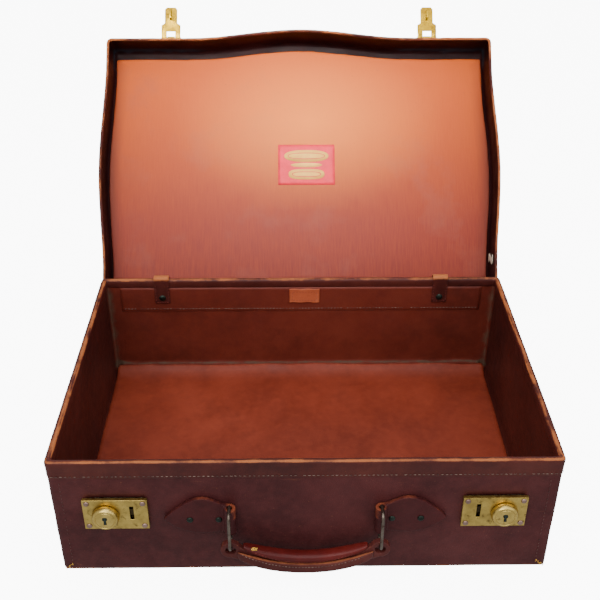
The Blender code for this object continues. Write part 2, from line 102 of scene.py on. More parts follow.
# --- materials ---
class Nodes:
    """A short way to write a material's nodes."""

    def __init__(self, name):
        self.mat = bpy.data.materials.new(name)
        self.mat.use_nodes = True
        self.tree = self.mat.node_tree
        self.shader = self.tree.nodes["Principled BSDF"]
        self.where = self.add("ShaderNodeTexCoord").outputs["Object"]

    def add(self, kind, **inputs):
        node = self.tree.nodes.new(kind)
        for key, value in inputs.items():
            self.feed(node.inputs[key], value)
        return node

    def feed(self, socket, value):
        if isinstance(value, bpy.types.NodeSocket):
            self.tree.links.new(value, socket)
        else:
            socket.default_value = value

    def link(self, out, key):
        self.tree.links.new(out, self.shader.inputs[key])

    def fix(self, key, value):
        self.shader.inputs[key].default_value = value

    def stretch(self, scale, turn):
        made = self.add("ShaderNodeMapping", Vector=self.where, Rotation=turn, Scale=scale)
        return made.outputs[0]

    def noise(self, scale, detail=4.0, rough=0.55, source=None, distort=0.0):
        made = self.add(
            "ShaderNodeTexNoise", Vector=source or self.where, Scale=scale, Detail=detail, Roughness=rough,
            Distortion=distort,
        )
        return made.outputs[0]

    def cells(self, scale):
        return self.add("ShaderNodeTexVoronoi", Vector=self.where, Scale=scale).outputs["Distance"]

    def ramp(self, value, *stops):
        made = self.add("ShaderNodeValToRGB", Fac=value)
        points = made.color_ramp.elements
        while len(points) < len(stops):
            points.new(0.5)
        for point, (at, colour) in zip(points, stops):
            point.position = at
            point.color = (*colour, 1) if len(colour) == 3 else colour
        return made.outputs[0]

    def span(self, value, low, high, to_low=0.0, to_high=1.0):
        keys = {"Value": value, "From Min": low, "From Max": high, "To Min": to_low, "To Max": to_high}
        return self.add("ShaderNodeMapRange", **keys).outputs[0]

    def maths(self, how, a, b=0.5):
        made = self.tree.nodes.new("ShaderNodeMath")
        made.operation = how
        for socket, value in zip(made.inputs, (a, b)):
            self.feed(socket, value)
        return made.outputs[0]

    def mix(self, amount, a, b, how="MIX"):
        made = self.tree.nodes.new("ShaderNodeMix")
        made.data_type = "RGBA"
        made.blend_type = how
        for index, value in ((0, amount), (6, a), (7, b)):
            self.feed(made.inputs[index], (*value, 1) if isinstance(value, tuple) else value)
        return made.outputs[2]

    def attribute(self, name):
        made = self.tree.nodes.new("ShaderNodeAttribute")
        made.attribute_name = name
        return made.outputs["Fac"]

    def bump(self, height, strength, distance, normal=None):
        made = self.add("ShaderNodeBump", Height=height, Strength=strength, Distance=distance)
        if normal:
            self.tree.links.new(normal, made.inputs["Normal"])
        return made.outputs[0]


def leather(
    name, dark, mid, light, worn_and_lit,
    grain=650.0, rough=(0.42, 0.66), scuff=0.35, wear_from=0.35, coat=0.0, level=0.22,
):
    """Grained leather: cloudy colour, cell grain, scratches, and a second colour laid where the piece's marks
    say: rubbed places on most skins, a painted sheen on the lid walls, and a painted highlight on the floor
    pad's edge and the mounts' top edges.
    """
    n = Nodes(name)
    colour = n.ramp(n.noise(7.0, 8.0, 0.62), (0.30, dark), (0.52, mid), (0.74, light))
    colour = n.mix(n.span(n.noise(95.0, 5.0, 0.6), 0.42, 0.75, 0.0, 0.45), colour, light)
    colour = n.mix(n.span(n.noise(22.0, 6.0, 0.7), 0.50, 0.72, 0.0, 0.6), colour, dark)
    lines = n.noise(20.0, 7.0, 0.75, n.stretch((2.0, 2.0, 26.0), (0.35, 0.5, 0.0)), 0.6)
    marks = n.span(lines, 0.64, 0.72)
    colour = n.mix(n.maths("MULTIPLY", marks, scuff), colour, worn_and_lit)
    specks = n.span(n.noise(420.0, 2.0, 0.5), 0.70, 0.80, 0.0, scuff)
    colour = n.mix(specks, colour, worn_and_lit)
    ragged = n.span(n.noise(55.0, 7.0, 0.72), 0.25, 0.75, -0.3, 0.3)
    wear_and_painted_light = n.maths("ADD", n.attribute("wear_and_painted_light"), ragged)
    wear_and_painted_light = n.span(wear_and_painted_light, wear_from, wear_from + 0.35)
    colour = n.mix(wear_and_painted_light, colour, worn_and_lit)
    colour = n.mix(n.span(n.cells(grain), 0.0, 0.5, 0.22, 0.0), colour, dark)
    n.link(colour, "Base Color")
    polish = n.span(n.noise(30.0, 6.0, 0.7), 0.3, 0.7, rough[0], rough[1])
    n.link(n.maths("ADD", polish, n.maths("MULTIPLY", wear_and_painted_light, 0.12)), "Roughness")
    normal = n.bump(n.cells(grain), 0.25, 0.0004)
    normal = n.bump(n.noise(1400.0, 3.0, 0.6), 0.125, 0.0002, normal)
    normal = n.bump(lines, 0.12, 0.001, normal)
    n.link(n.bump(n.noise(24.0, 3.0, 0.5), 0.16, 0.004, normal), "Normal")
    n.fix("Specular IOR Level", level)
    n.fix("Coat Weight", coat)
    n.fix("Coat Roughness", 0.28)
    return n.mat


def metal(name, bright, dull, stain, rough=(0.2, 0.42), stain_from=0.55):
    """Old metal: bright and dull patches, stain spots, more stain where a piece's marks ask for it, and fine
    scratches.
    """
    n = Nodes(name)
    colour = n.mix(n.span(n.noise(70.0, 6.0, 0.65), 0.35, 0.65), bright, dull)
    spots = n.span(n.noise(190.0, 6.0, 0.72), stain_from, stain_from + 0.12)
    colour = n.mix(n.maths("MULTIPLY", spots, 0.75), colour, stain)
    colour = n.mix(n.maths("MULTIPLY", n.attribute("wear_and_painted_light"), 0.7), colour, stain)
    n.link(colour, "Base Color")
    n.fix("Metallic", 1.0)
    fine = n.noise(900.0, 4.0, 0.7)
    rough_now = n.span(n.noise(120.0, 5.0, 0.7), 0.3, 0.7, rough[0], rough[1])
    n.link(n.maths("ADD", rough_now, n.maths("MULTIPLY", spots, 0.25)), "Roughness")
    normal = n.bump(fine, 0.10, 0.0002)
    n.link(n.bump(n.noise(160.0, 4.0, 0.6), 0.12, 0.0005, normal), "Normal")
    return n.mat


def thread(name, colour, dirt):
    n = Nodes(name)
    shade = n.mix(n.span(n.noise(140.0, 5.0, 0.7), 0.42, 0.6), colour, dirt)
    n.link(shade, "Base Color")
    n.link(n.span(n.noise(800.0), 0.3, 0.7, 0.7, 0.95), "Roughness")
    n.link(n.bump(n.noise(3200.0, 2.0), 0.5, 0.0003), "Normal")
    return n.mat


def panel_leather():
    """The lid's panel: tan above, pinker and darker below, paler in the middle where a highlight is painted,
    with fine upright grain.
    """
    n = Nodes("lid_panel_skin")
    up = n.span(n.attribute("height"), 0.0, 1.0)
    low, high = (0.0, (0.170, 0.0210, 0.0180)), (1.0, (0.62, 0.100, 0.0085))
    hue = n.ramp(up, low, (0.3, (0.250, 0.034, 0.0220)), (0.7, (0.48, 0.075, 0.0120)), high)
    grain = n.noise(26.0, 8.0, 0.72, n.stretch((26.0, 1.3, 1.3), (math.radians(128.5), 0, 0)))
    hue = n.mix(n.span(grain, 0.38, 0.68, 0.0, 0.16), hue, (0.70, 0.130, 0.020))
    hue = n.mix(n.span(n.noise(9.0, 7.0, 0.65), 0.52, 0.75, 0.0, 0.5), hue, (0.30, 0.09, 0.06))
    # Painted highlight: pale tan laid where the pale field says, round the panel's middle, towards its top.
    hue = n.mix(n.maths("MULTIPLY", n.attribute("pale"), 0.75), hue, (0.98, 0.260, 0.030))
    hue = n.mix(n.span(n.noise(300.0, 3.0, 0.6), 0.66, 0.8, 0.0, 0.4), hue, (0.20, 0.06, 0.04))
    # Darker along the side edges and the hinge end, where the marks are set.
    hue = n.mix(n.maths("MULTIPLY", n.attribute("wear_and_painted_light"), 0.8), hue, (0.12, 0.030, 0.022))
    n.link(hue, "Base Color")
    n.link(n.span(grain, 0.3, 0.7, 0.38, 0.54), "Roughness")
    normal = n.bump(grain, 0.22, 0.0006)
    normal = n.bump(n.cells(520.0), 0.12, 0.0003, normal)
    n.link(n.bump(n.noise(12.0, 3.0, 0.5), 0.22, 0.006, normal), "Normal")
    n.fix("Specular IOR Level", 0.13)
    return n.mat


EXT = leather(
    "case_skin",
    (0.027, 0.0056, 0.0062), (0.056, 0.0118, 0.0124),
    (0.092, 0.0215, 0.0210), (0.24, 0.082, 0.038),
    level=0.16,
)
EDGE = leather(
    "edge_skin",
    (0.15, 0.024, 0.011), (0.32, 0.060, 0.024),
    (0.48, 0.110, 0.045), (0.58, 0.17, 0.070),
    grain=900, scuff=0.2,
)
WALL = leather(
    "wall_skin",
    (0.026, 0.0045, 0.0040), (0.050, 0.0085, 0.0065),
    (0.082, 0.015, 0.010), (0.060, 0.045, 0.032),
    grain=800, scuff=0.10, wear_from=0.45, rough=(0.4, 0.6),
)
# A lighter copy of the wall skin for the back wall and its band: painted light, standing for the extra light
# that falls on the back wall.
WALL_BACK_LIT = leather(
    "wall_back_lit_skin",
    (0.070, 0.011, 0.0065), (0.112, 0.017, 0.0100),
    (0.155, 0.026, 0.014), (0.085, 0.050, 0.032),
    grain=800, scuff=0.10, wear_from=0.45, rough=(0.4, 0.6),
)
# The lid walls' second colour is a painted bluish-grey sheen, laid towards the two ends of the front wall; the
# scratches use it too.
LIDWALL = leather(
    "lid_wall_skin",
    (0.010, 0.0020, 0.0022), (0.016, 0.0032, 0.0034),
    (0.030, 0.0065, 0.0064), (0.020, 0.021, 0.028),
    grain=800, scuff=0.08, wear_from=0.42, rough=(0.34, 0.52), level=0.07,
)
# Its second colour also paints the highlight line along the pad's raised edge.
FLOOR = leather(
    "floor_skin",
    (0.120, 0.016, 0.0075), (0.195, 0.028, 0.0125),
    (0.26, 0.042, 0.019), (0.32, 0.080, 0.040),
    grain=900, scuff=0.10, wear_from=0.5, rough=(0.42, 0.60),
)
HANDLE_RED = leather(
    "handle_red_skin",
    (0.034, 0.0030, 0.0026), (0.080, 0.0060, 0.0050),
    (0.135, 0.012, 0.009), (0.22, 0.05, 0.03),
    grain=800, scuff=0.15, rough=(0.3, 0.5), wear_from=0.6,
)
HANDLE_BROWN = leather(
    "handle_brown_skin",
    (0.036, 0.0065, 0.0055), (0.068, 0.0130, 0.0110),
    (0.110, 0.026, 0.021), (0.28, 0.085, 0.036),
    grain=900, scuff=0.25, wear_from=0.50, level=0.16,
)
# Its second colour also paints the highlight along the mounts' top edges.
MOUNT = leather(
    "mount_skin",
    (0.022, 0.0040, 0.0045), (0.043, 0.0078, 0.0084),
    (0.070, 0.0140, 0.0140), (0.20, 0.045, 0.020),
    grain=800, scuff=0.2, wear_from=0.50, level=0.14,
)
RIM = leather(
    "rim_skin",
    (0.028, 0.0045, 0.0038), (0.056, 0.0090, 0.0072),
    (0.095, 0.0185, 0.0125), (0.36, 0.105, 0.030),
    grain=900, scuff=0.3, wear_from=0.42, coat=0.06, level=0.2,
)
TAPE = thread("cotton_tape", (0.66, 0.55, 0.42), (0.40, 0.30, 0.22))
STITCH = thread("stitch_pale", (0.21, 0.145, 0.115), (0.045, 0.018, 0.015))
STITCH_DARK = thread("stitch_dark", (0.10, 0.035, 0.03), (0.045, 0.012, 0.010))
STITCH_RED = thread("stitch_red", (0.22, 0.030, 0.022), (0.10, 0.014, 0.010))
YELLOW = thread("thread_yellow", (0.78, 0.46, 0.06), (0.55, 0.28, 0.05))
LOCK_BRASS = metal(
    "lock_brass", (0.58, 0.42, 0.115), (0.36, 0.25, 0.066), (0.085, 0.052, 0.015), (0.28, 0.48)
)
BRIGHT = metal(
    "bright_brass", (0.42, 0.265, 0.014), (0.29, 0.165, 0.008), (0.13, 0.065, 0.006), (0.20, 0.38), 0.62
)
KNOB_BRASS = metal(
    "knob_brass", (0.66, 0.48, 0.14), (0.44, 0.31, 0.085), (0.15, 0.095, 0.028), (0.18, 0.36), 0.58
)
BOLT_BRASS = metal(
    "bolt_brass", (0.060, 0.040, 0.016), (0.036, 0.025, 0.011), (0.02, 0.013, 0.006), (0.4, 0.6)
)
STEEL = metal(
    "ring_steel", (0.20, 0.165, 0.135), (0.12, 0.092, 0.072), (0.060, 0.034, 0.024), (0.3, 0.5), 0.5
)
RIVET = metal(
    "rivet_steel", (0.34, 0.225, 0.19), (0.23, 0.15, 0.125), (0.16, 0.10, 0.08), (0.3, 0.5)
)
# Dark rivets; the keyhole's painted shade uses this metal too.
RIVET_DARK_AND_HOLE_SHADE = metal(
    "rivet_dark", (0.040, 0.052, 0.042), (0.020, 0.026, 0.022), (0.012, 0.010, 0.008), (0.4, 0.6)
)
PANEL = panel_leather()


def label_material(name, colour, other):
    n = Nodes(name)
    shade = n.mix(n.span(n.noise(60.0, 7.0, 0.7), 0.4, 0.68, 0.0, 0.55), colour, other)
    weave = n.cells(1500.0)
    n.link(n.mix(n.span(weave, 0.0, 0.6, 0.25, 0.0), shade, other), "Base Color")
    n.link(n.span(n.noise(200.0), 0.3, 0.7, 0.5, 0.75), "Roughness")
    n.link(n.bump(weave, 0.2, 0.0002), "Normal")
    return n.mat


PINK = label_material("label_pink", (0.90, 0.012, 0.045), (0.62, 0.010, 0.028))
CREAM = label_material("label_cream", (0.97, 0.56, 0.10), (0.82, 0.30, 0.060))


# --- shapes ---
def rounded(width, depth, radius, centre_y, front, sides):
    """The frame's own rounded rectangle, with its front and sides bowed."""
    points, steps = [], 8
    hx, hy = width / 2, depth / 2

    def arc(cx, cy, start):
        for i in range(steps + 1):
            a = math.radians(start + 90 * i / steps)
            points.append((cx + radius * math.cos(a), cy + radius * math.sin(a)))

    def bow(amount, at):
        return amount * math.cos(math.pi * at / (2 * BOW_REACH)) ** 2 if abs(at) < BOW_REACH else 0.0

    stations = [BOW_REACH * i / 12 for i in range(-12, 13)]
    arc(-(hx - radius), -(hy - radius), 180)
    points.extend((s, -hy - bow(front, s)) for s in stations)
    arc(hx - radius, -(hy - radius), 270)
    points.extend((hx + bow(sides, s), s) for s in stations)
    arc(hx - radius, hy - radius, 0)
    arc(-(hx - radius), hy - radius, 90)
    points.extend((-hx - bow(sides, s), -s) for s in stations)
    return [(x, y + centre_y) for x, y in points]


def evenly(points, count):
    """`count` points spaced evenly round a closed outline."""
    loop = [Vector(p) for p in points] + [Vector(points[0])]
    lengths = [(b - a).length for a, b in zip(loop, loop[1:])]
    total = sum(lengths)
    found, i, gone = [], 0, 0.0
    for k in range(count):
        want = total * k / count
        while gone + lengths[i] < want:
            gone += lengths[i]
            i += 1
        found.append(loop[i].lerp(loop[i + 1], (want - gone) / max(lengths[i], 1e-9)))
    return found


class Outline:
    """A rounded outline of evenly spaced points that can be drawn again at any inset."""

    def __init__(self, width, depth, radius, count, centre_y=0.0, front=0.0, sides=0.0):
        self.size = (width, depth, radius)
        self.more = (centre_y, front, sides)
        self.count = count
        self.at, self.out = self.drawn(0.0)

    def drawn(self, inset):
        width, depth, radius = self.size
        centre_y, front, sides = self.more
        corner = max(radius - inset, 1.6)
        line = rounded(width - 2 * inset, depth - 2 * inset, corner, centre_y, front, sides)
        at, out = evenly(line, self.count), []
        for i in range(self.count):
            along = at[(i + 1) % self.count] - at[i - 1]
            out.append(Vector((along.y, -along.x)).normalized())
        return at, out

    def ring(self, inset, z, wave=0.0, lift=0.0, seed=0.0):
        points = []
        for p, out in zip(*self.drawn(inset)):
            here = Vector((p.x * 0.012, p.y * 0.012, z * 0.02 + seed))
            step = wave * noise.noise(here * 1.7) + 0.4 * wave * noise.noise(here * 6.0)
            up = lift * (noise.noise(here * 2.3 + Vector((9, 3, 1))) + 0.5 * noise.noise(here * 8.0))
            spot = p + out * step
            points.append(Vector((spot.x, spot.y, z + up)))
        return points


BASE = Outline(BASE_W, BASE_D, 6.0, 860)
LID = Outline(LID_W, LID_D, 7.0, 860, LID_Y, LID_BOW, LID_SIDE_BOW)


def finish_piece(obj, mat, body, nodes=()):
    obj.data.materials.clear()
    obj.data.materials.append(mat)
    if obj.name not in bpy.context.scene.collection.objects:
        bpy.context.scene.collection.objects.link(obj)
    if body:
        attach(obj, body)
    if nodes:
        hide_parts(*nodes)
    return obj


def piece(
    name, points, faces, mat, body, nodes=(), slot=None, turn=None, wear_and_painted_light=None, thick=0.0, out=True, **fields
):
    """A smooth mesh piece from millimetre points. Its material reads its marks of rubbing and of painted
    light, and its other fields.
    """
    mesh = bpy.data.meshes.new(name)
    mesh.from_pydata([((turn @ p) if turn else p) * MM for p in points], [], faces)
    if wear_and_painted_light:
        fields["wear_and_painted_light"] = wear_and_painted_light
    for field, values in fields.items():
        mesh.attributes.new(field, "FLOAT", "POINT").data.foreach_set("value", values)
    bm = bmesh.new()
    bm.from_mesh(mesh)
    bmesh.ops.recalc_face_normals(bm, faces=bm.faces)
    if not out:
        bmesh.ops.reverse_faces(bm, faces=bm.faces)
    bm.to_mesh(mesh)
    bm.free()
    mesh.shade_smooth()
    obj = bpy.data.objects.new(name, mesh)
    if thick:
        wall = obj.modifiers.new("thickness", "SOLIDIFY")
        wall.thickness = thick * MM
        wall.offset = -1.0
    return finish_piece(obj, mat, body, nodes)


def loft(rings, cyclic=True, start_cap=False, end_cap=False):
    """(points, faces) of a skin through rings of equal length."""
    n = len(rings[0])
    points = [p for ring in rings for p in ring]
    faces = []
    for i in range(len(rings) - 1):
        for j in range(n if cyclic else n - 1):
            a, b = i * n + j, i * n + (j + 1) % n
            faces.append((a, b, b + n, a + n))
    if start_cap:
        faces.append(tuple(range(n)))
    if end_cap:
        faces.append(tuple(range(len(points) - n, len(points))))
    return points, faces


def smooth_path(points, per=8):
    """A Catmull-Rom curve through the points."""
    pts = [Vector(p) for p in points]
    ends = [pts[0] * 2 - pts[1]] + pts + [pts[-1] * 2 - pts[-2]]
    found = []
    for a, b, c, d in zip(ends, ends[1:], ends[2:], ends[3:]):
        for k in range(per):
            t = k / per
            square, cube = 2 * a - 5 * b + 4 * c - d, 3 * b - a - 3 * c + d
            found.append(0.5 * ((2 * b) + (c - a) * t + square * t * t + cube * t**3))
    return found + [pts[-1]]


def strap(path, across, width, thick, wave=0.15):
    """(points, faces) of a flat strip with rounded edges whose middle follows the path."""
    across = Vector(across).normalized()
    rings = []
    for i, p in enumerate(path):
        along = (path[min(i + 1, len(path) - 1)] - path[max(i - 1, 0)]).normalized()
        up = across.cross(along).normalized()
        ring = []
        w = width / 2 + wave * noise.noise(p * 0.15)
        h = thick / 2
        half = [(-w, -h * 0.3), (-w + h, -h), (-w * 0.4, -h), (w * 0.4, -h), (w - h, -h), (w, -h * 0.3)]
        for a, b in half + [(-a, -b) for a, b in half]:
            ring.append(p + across * a + up * b)
        rings.append(ring)
    return loft(rings, True, True, True)


def stitches(name, spots, mat, body, long, wide):
    """Sewn stitches as one mesh. A spot is (place, direction along the seam, direction off the surface)."""
    points, faces = [], []
    for place, along, off in spots:
        along, off = along.normalized(), off.normalized()
        side = along.cross(off)
        length = long * random.uniform(0.85, 1.1)
        tilt = side * random.uniform(-0.12, 0.12) * length
        base = len(points)
        for t, r in ((-0.5, 0.25), (-0.32, 0.9), (0.0, 1.0), (0.32, 0.9), (0.5, 0.25)):
            mid = place + along * (t * length) + tilt * t + off * (wide * 0.35 * (1 - 3.2 * t * t))
            for k in range(6):
                a = math.tau * k / 6
                points.append(mid + (side * math.cos(a) + off * 0.8 * math.sin(a)) * wide * r)
        for i in range(4):
            for k in range(6):
                a, b = base + i * 6 + k, base + i * 6 + (k + 1) % 6
                faces.append((a, b, b + 6, a + 6))
        faces.append(tuple(base + k for k in range(6)))
        faces.append(tuple(base + 24 + k for k in range(6)))
    piece(name, points, faces, mat, body)


def run(start, end, off, pitch, skip=0.0):
    """Stitch spots along a straight seam."""
    start, end, off = Vector(start), Vector(end), Vector(off)
    count = max(int((end - start).length / pitch), 1)
    spots = []
    for i in range(count):
        if random.random() >= skip:
            spots.append((start.lerp(end, (i + 0.5) / count), end - start, off))
    return spots


def wire(name, path, radius, mat, body, cyclic=False, nodes=()):
    data = bpy.data.curves.new(name, "CURVE")
    data.dimensions = "3D"
    data.bevel_depth = radius * MM
    data.bevel_resolution = 5
    data.use_fill_caps = True
    line = data.splines.new("POLY")
    line.points.add(len(path) - 1)
    for point, p in zip(line.points, path):
        point.co = (*(p * MM), 1)
    line.use_cyclic_u = cyclic
    line.use_smooth = True
    return finish_piece(bpy.data.objects.new(name, data), mat, body, nodes)


def turned(name, profile, base, out, mat, body, nodes, sides, turn=None):
    """A turned piece: the profile is (radius, height) from rim to middle, standing on `base` along `out`."""
    spin = Vector((0, 0, 1)).rotation_difference(Vector(out)).to_matrix()
    rings = []
    for r, h in profile:
        turns = [math.tau * k / sides for k in range(sides)]
        rings.append([Vector(base) + spin @ Vector((r * math.cos(a), r * math.sin(a), h)) for a in turns])
    points, faces = loft(rings, True, True, True)
    return piece(name, points, faces, mat, body, nodes, turn=turn)


def bump01(value, middle, half):
    """1 at the middle, falling smoothly to 0 half away."""
    return max(0.0, 1 - ((value - middle) / half) ** 2) ** 2


def unit(value):
    return max(0.0, min(1.0, value))


def ripple(x, y, z):
    """Smooth noise between about -1 and 1."""
    return noise.noise(Vector((x, y, z)))


def soften(node, voxel, rounds, mat, gain):
    """The frame's leather solid as worked leather: remeshed, its edges rubbed round, and marked for wear."""
    work = bpy.data.objects.new(node + "_work", NODES[node].data.copy())
    bpy.context.scene.collection.objects.link(work)
    grid = work.modifiers.new("remesh", "REMESH")
    grid.mode = "VOXEL"
    grid.voxel_size = voxel * MM
    ease = work.modifiers.new("ease", "SMOOTH")
    ease.factor = 0.5
    ease.iterations = rounds
    bpy.context.view_layer.update()
    made = bpy.data.meshes.new_from_object(work.evaluated_get(bpy.context.evaluated_depsgraph_get()))
    bpy.data.objects.remove(work)
    wear_and_painted_light = []
    for v in made.vertices:
        flat = max(abs(v.normal.x), abs(v.normal.y), abs(v.normal.z))
        wear_and_painted_light.append(unit((1 - flat) * gain))
        v.co += v.normal * (noise.noise(v.co * 90) * 0.0002)
    made.attributes.new("wear_and_painted_light", "FLOAT", "POINT").data.foreach_set("value", wear_and_painted_light)
    made.shade_smooth()
    obj = bpy.data.objects.new(node + "_skin", made)
    return finish_piece(obj, mat, BODY_OF[node], (node,))


def refine(node, bevel, mat, steps=2):
    """The frame's metal piece with its edges eased and its curved faces smooth."""
    mesh = NODES[node].data.copy()
    bm = bmesh.new()
    bm.from_mesh(mesh)
    bmesh.ops.remove_doubles(bm, verts=bm.verts, dist=1e-6)
    bmesh.ops.dissolve_limit(bm, angle_limit=0.02, verts=bm.verts, edges=bm.edges)
    bm.to_mesh(mesh)
    bm.free()
    mesh.shade_smooth()
    mesh.set_sharp_from_angle(angle=math.radians(50))
    obj = bpy.data.objects.new(node + "_fine", mesh)
    soft = obj.modifiers.new("ease", "BEVEL")
    soft.width = bevel * MM
    soft.segments = steps
    soft.limit_method = "ANGLE"
    soft.angle_limit = math.radians(40)
    soft.harden_normals = True
    return finish_piece(obj, mat, BODY_OF[node], (node,))


# --- the base's outside ---
def corner_near(p, reach):
    """1 on a vertical corner of the base, 0 on its flat walls."""
    away = math.hypot(abs(p.x) - (BASE_W / 2 - 5), abs(p.y) - (BASE_D / 2 - 5))
    return max(0.0, 1 - away / reach)


def base_skin():
    levels = [(9.0, 0.0), (4.0, 0.0), (2.5, 0.3), (1.7, 1.1), (1.3, 2.6), (1.2, 5.0), (1.2, 9.0)]
    levels += [(1.2, z) for z in range(15, 130, 6)] + [(1.3, SEAM_Z), (1.4, 149.0)]
    rings = [BASE.ring(inset, z, 0.0 if z < 1 else 0.35) for inset, z in levels]
    points, faces = loft(rings, True, True, False)
    wear_and_painted_light = []
    for p in points:
        low = max(0.0, 1 - abs(p.z - 2.0) / 4.0)
        rubbed = 0.10 * bump01(p.x, 0, 95) * bump01(p.z, 62, 40) if p.y < -150 else 0.0
        wear_and_painted_light.append(unit(0.58 * low + 0.40 * corner_near(p, 9.0) + rubbed))
    kept = []
    for face in faces:
        mid = sum((points[k] for k in face), Vector()) / len(face)
        behind_plate = mid.y < -170 and abs(abs(mid.x) - LOCK_X) < 30 and 69 < mid.z < 104
        if not behind_plate:
            kept.append(face)
    piece("base_cover_skin", points, kept, EXT, "base", ("base_cover",), "case_leather", None, wear_and_painted_light, 1.4)


base_skin()


def rim_binding():
    outer = [(0.95, 131.0), (0.7, 131.5), (0.6, 133.0), (0.5, 138.0), (0.35, 144.0), (0.1, 148.5)]
    over = [(0.3, 150.4), (1.0, 151.6), (2.4, 152.3), (3.9, 152.4), (5.4, 152.2), (6.6, 151.4)]
    shape = outer + over + [(7.3, 149.8), (7.4, 147.0), (7.3, 143.0), (6.9, 141.2)]
    rings = [BASE.ring(inset, z, 0.35, 0.28, 4.0) for inset, z in shape]
    points, faces = loft(rings + [rings[0]])
    wear_and_painted_light = []
    for p in points:
        inner = min(BASE_W / 2 - abs(p.x), BASE_D / 2 - abs(p.y)) > 3.6
        top = unit((p.z - 150.2) / 1.4)
        if p.y < -BASE_D / 2 + 9:
            patch = 0.85 + 0.5 * ripple(p.x * 0.03, 1, 7)
            amount = 0.88 * top * patch if not inner else 0.42 * top * patch
        elif p.y > BASE_D / 2 - 9:
            patch = 0.7 + 0.6 * ripple(p.x * 0.02, 0, 2)
            amount = 0.50 * top * patch + (0.22 if inner else 0.0)
        else:
            patch = 0.75 + 0.9 * ripple(p.y * 0.03, p.x, 5)
            amount = (0.44 if not inner else 0.62) * top * patch + (0.20 if inner else 0.0)
        if p.z < 140 and not inner:
            amount = 0.12
        wear_and_painted_light.append(unit(amount))
    nodes = ("base_rim_binding",)
    piece("base_rim_binding_skin", points, faces, RIM, "base", nodes, "edge_leather", None, wear_and_painted_light)


rim_binding()


def rim_seam():
    """The sewn line 18 mm under the rim, and the seams down the four corners."""
    count = int(2 * (BASE_W + BASE_D) / 4.6)
    line = Outline(BASE_W - 1.0, BASE_D - 1.0, 5.5, count)
    spots = []
    for i, (p, out) in enumerate(zip(line.at, line.out)):
        along = line.at[(i + 1) % count] - line.at[i - 1]
        if random.random() > 0.04:
            spots.append((Vector((p.x, p.y, SEAM_Z)) + out.to_3d() * 0.05, along.to_3d(), out.to_3d()))
    stitches("rim_stitches", spots, STITCH, "base", 2.9, 0.42)
    side = []
    for sx in (-1, 1):
        for sy in (-1, 1):
            low = Vector((sx * (BASE_W / 2 - 12.5), sy * (BASE_D / 2 - 1.0), 8.0))
            side += run(low, low + Vector((0, 0, 118)), (0, sy, 0), 4.8, 0.06)
    stitches("corner_stitches", side, STITCH_DARK, "base", 2.9, 0.42)


rim_seam()


# --- the base's inside ---
def base_inside():
    levels = [(6.3, 149.0), (6.4, 140.0)] + [(6.3, z) for z in range(130, 29, -7)]
    levels += [(6.3, 27.0), (6.3, 25.0), (6.4, 23.0), (6.4, 21.0), (6.4, 19.0)]
    levels += [(6.5, 17.0), (6.6, 14.0), (7.4, 10.0), (9.0, 7.2), (12.0, 6.0)]
    rings = []
    for inset, z in levels:
        ring = BASE.ring(inset, z, 0.5, 0.0, 8.0)
        for k, p in enumerate(ring):
            if p.y > 150 and abs(p.x) < 244:
                p.y -= 3.4 * bump01(z + 2.0 * ripple(p.x * 0.03, 0, 1), 15.0, 9.0)
            gather = corner_near(p, 16.0) * (1.0 + 1.2 * ripple(z * 0.05, k, 3))
            ring[k] = p - Vector((p.x, p.y, 0)).normalized() * gather
        rings.append(ring)
    points, faces = loft(rings, True, False, True)
    wear_and_painted_light = []
    for p in points:
        at = p.z + 2 * ripple(p.x * 0.03, 0, 1)
        line = 0.75 * bump01(at, 20.5, 3.5) if p.y > 160 else 0.0
        wear_and_painted_light.append(unit(0.85 * corner_near(p, 17.0) + line))
    made = piece(
        "base_lining_skin", points, faces, WALL, "base", ("base_lining",), "lining_leather",
        wear_and_painted_light=wear_and_painted_light, out=False,
    )
    # Faces on the back wall take the lighter copy: painted light.
    made.data.materials.append(WALL_BACK_LIT)
    for face in made.data.polygons:
        face.material_index = 1 if face.center.y > 0.163 else 0


base_inside()


def floor_panel():
    """The padded floor: a low crowned pad with a rolled edge that wavers along the back."""
    edge = Outline(501.0, 336.0, 4.0, 420)
    shape = [(26.0, 5.4), (0.6, 5.6), (-0.3, 6.8), (0.1, 8.2), (1.4, 9.3), (3.4, 9.8), (6.5, 9.7), (10.0, 9.3)]
    rings = []
    for inset, z in shape:
        ring = edge.ring(inset, z, 0.9, 0.1, 2.0)
        for p in ring:
            if p.y > 146 and inset < 24:
                p.z += 10.5 * ((p.y - 146) / 22) ** 2 * (1 + 0.25 * ripple(p.x * 0.02, 0, 3))
        rings.append(ring)
    last = rings[-1]
    for scale in (0.93, 0.85, 0.75, 0.62, 0.48, 0.33, 0.17, 0.03):
        ring = []
        for p in last:
            q = p * scale
            q.z = 9.2 + 0.7 * (1 - scale) + 0.5 * noise.noise(Vector((q.x, q.y, 0)) * 0.018)
            ring.append(q)
        rings.append(ring)
    points, faces = loft(rings, True, True, True)
    # A painted highlight: a pale line along the top of the pad's rolled edge.
    wear_and_painted_light = [0.45 if 8.5 < p.z and max(abs(p.x) / 250, abs(p.y) / 167.5) > 0.975 else 0.0 for p in points]
    nodes = ("base_floor_panel",)
    pad = piece("base_floor_pad", points, faces, FLOOR, "base", nodes, "floor_leather", None, wear_and_painted_light)


floor_panel()


